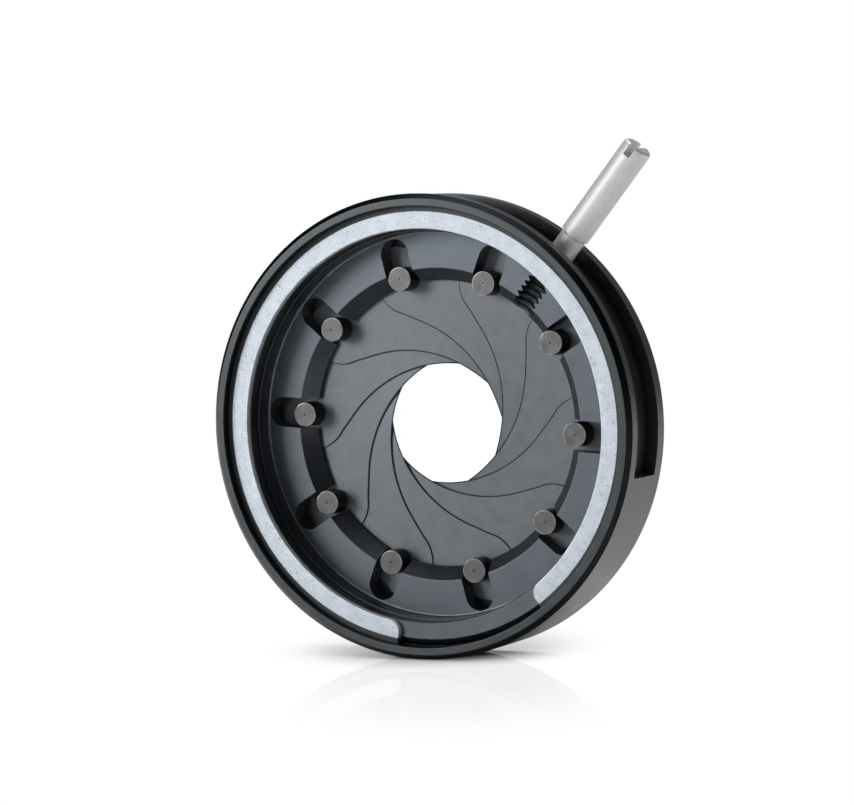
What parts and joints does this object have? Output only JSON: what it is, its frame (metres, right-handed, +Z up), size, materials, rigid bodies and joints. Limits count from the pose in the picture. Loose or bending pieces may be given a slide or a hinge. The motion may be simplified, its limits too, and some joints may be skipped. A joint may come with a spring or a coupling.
{
  "type": "iris diaphragm",
  "caption": "Ring-mounted iris diaphragm with overlapping leaves, a slotted drive ring and a radial lever that opens and closes the round aperture.",
  "frame": {"origin": "on the optical axis, in the plane of the housing back face", "axes": "-Y along the optical axis towards the front, +Z up, +X to the right as seen from the front"},
  "size_m": [0.0443, 0.0083, 0.0484],
  "materials": {
    "housing_black": "black anodised, satin",
    "ring_black": "black anodised, satin",
    "spacer_black": "black anodised, satin",
    "retainer_steel": "bright plated spring steel, fine grained",
    "lever_nickel": "nickel plated, satin",
    "leaf_steel": "blued spring steel, matt",
    "pin_steel": "turned steel, dull"
  },
  "bodies": {
    "body": {"housing": "housing_black", "spacer_ring": "spacer_black", "retaining_ring": "retainer_steel"},
    "ring": {"drive_ring": "ring_black", "lever": "lever_nickel"},
    "blade_01": {"leaf_01": "leaf_steel", "drive_pin_01": "pin_steel", "pivot_pin_01": "pin_steel"},
    "blade_02": {"leaf_02": "leaf_steel", "drive_pin_02": "pin_steel", "pivot_pin_02": "pin_steel"},
    "blade_03": {"leaf_03": "leaf_steel", "drive_pin_03": "pin_steel", "pivot_pin_03": "pin_steel"},
    "blade_04": {"leaf_04": "leaf_steel", "drive_pin_04": "pin_steel", "pivot_pin_04": "pin_steel"},
    "blade_05": {"leaf_05": "leaf_steel", "drive_pin_05": "pin_steel", "pivot_pin_05": "pin_steel"},
    "blade_06": {"leaf_06": "leaf_steel", "drive_pin_06": "pin_steel", "pivot_pin_06": "pin_steel"},
    "blade_07": {"leaf_07": "leaf_steel", "drive_pin_07": "pin_steel", "pivot_pin_07": "pin_steel"},
    "blade_08": {"leaf_08": "leaf_steel", "drive_pin_08": "pin_steel", "pivot_pin_08": "pin_steel"},
    "blade_09": {"leaf_09": "leaf_steel", "drive_pin_09": "pin_steel", "pivot_pin_09": "pin_steel"},
    "blade_10": {"leaf_10": "leaf_steel", "drive_pin_10": "pin_steel", "pivot_pin_10": "pin_steel"}
  },
  "joints": [
    {"name": "ring_turn", "type": "hinge", "parent": "body", "child": "ring", "pos_m": [0, 0, 0], "axis": [0, -1, 0], "range_deg": [-51.47, 35.5]},
    {"name": "leaf_swing_01", "type": "hinge", "parent": "body", "child": "blade_01", "pos_m": [0.00202, 0, -0.01628], "axis": [0, -1, 0], "range_deg": [-25.6, 17.65]},
    {"name": "leaf_swing_02", "type": "hinge", "parent": "body", "child": "blade_02", "pos_m": [-0.00793, 0, -0.01435], "axis": [0, -1, 0], "range_deg": [-25.6, 17.65]},
    {"name": "leaf_swing_03", "type": "hinge", "parent": "body", "child": "blade_03", "pos_m": [-0.01485, 0, -0.00695], "axis": [0, -1, 0], "range_deg": [-25.6, 17.65]},
    {"name": "leaf_swing_04", "type": "hinge", "parent": "body", "child": "blade_04", "pos_m": [-0.0161, 0, 0.00311], "axis": [0, -1, 0], "range_deg": [-25.6, 17.65]},
    {"name": "leaf_swing_05", "type": "hinge", "parent": "body", "child": "blade_05", "pos_m": [-0.0112, 0, 0.01198], "axis": [0, -1, 0], "range_deg": [-25.6, 17.65]},
    {"name": "leaf_swing_06", "type": "hinge", "parent": "body", "child": "blade_06", "pos_m": [-0.00202, 0, 0.01628], "axis": [0, -1, 0], "range_deg": [-25.6, 17.65]},
    {"name": "leaf_swing_07", "type": "hinge", "parent": "body", "child": "blade_07", "pos_m": [0.00793, 0, 0.01435], "axis": [0, -1, 0], "range_deg": [-25.6, 17.65]},
    {"name": "leaf_swing_08", "type": "hinge", "parent": "body", "child": "blade_08", "pos_m": [0.01485, 0, 0.00695], "axis": [0, -1, 0], "range_deg": [-25.6, 17.65]},
    {"name": "leaf_swing_09", "type": "hinge", "parent": "body", "child": "blade_09", "pos_m": [0.0161, 0, -0.00311], "axis": [0, -1, 0], "range_deg": [-25.6, 17.65]},
    {"name": "leaf_swing_10", "type": "hinge", "parent": "body", "child": "blade_10", "pos_m": [0.0112, 0, -0.01198], "axis": [0, -1, 0], "range_deg": [-25.6, 17.65]}
  ],
  "couplings": [
    {"joint": "leaf_swing_01", "follows": "ring_turn", "ratio": 0.4955},
    {"joint": "leaf_swing_02", "follows": "ring_turn", "ratio": 0.4955},
    {"joint": "leaf_swing_03", "follows": "ring_turn", "ratio": 0.4955},
    {"joint": "leaf_swing_04", "follows": "ring_turn", "ratio": 0.4955},
    {"joint": "leaf_swing_05", "follows": "ring_turn", "ratio": 0.4955},
    {"joint": "leaf_swing_06", "follows": "ring_turn", "ratio": 0.4955},
    {"joint": "leaf_swing_07", "follows": "ring_turn", "ratio": 0.4955},
    {"joint": "leaf_swing_08", "follows": "ring_turn", "ratio": 0.4955},
    {"joint": "leaf_swing_09", "follows": "ring_turn", "ratio": 0.4955},
    {"joint": "leaf_swing_10", "follows": "ring_turn", "ratio": 0.4955}
  ]
}
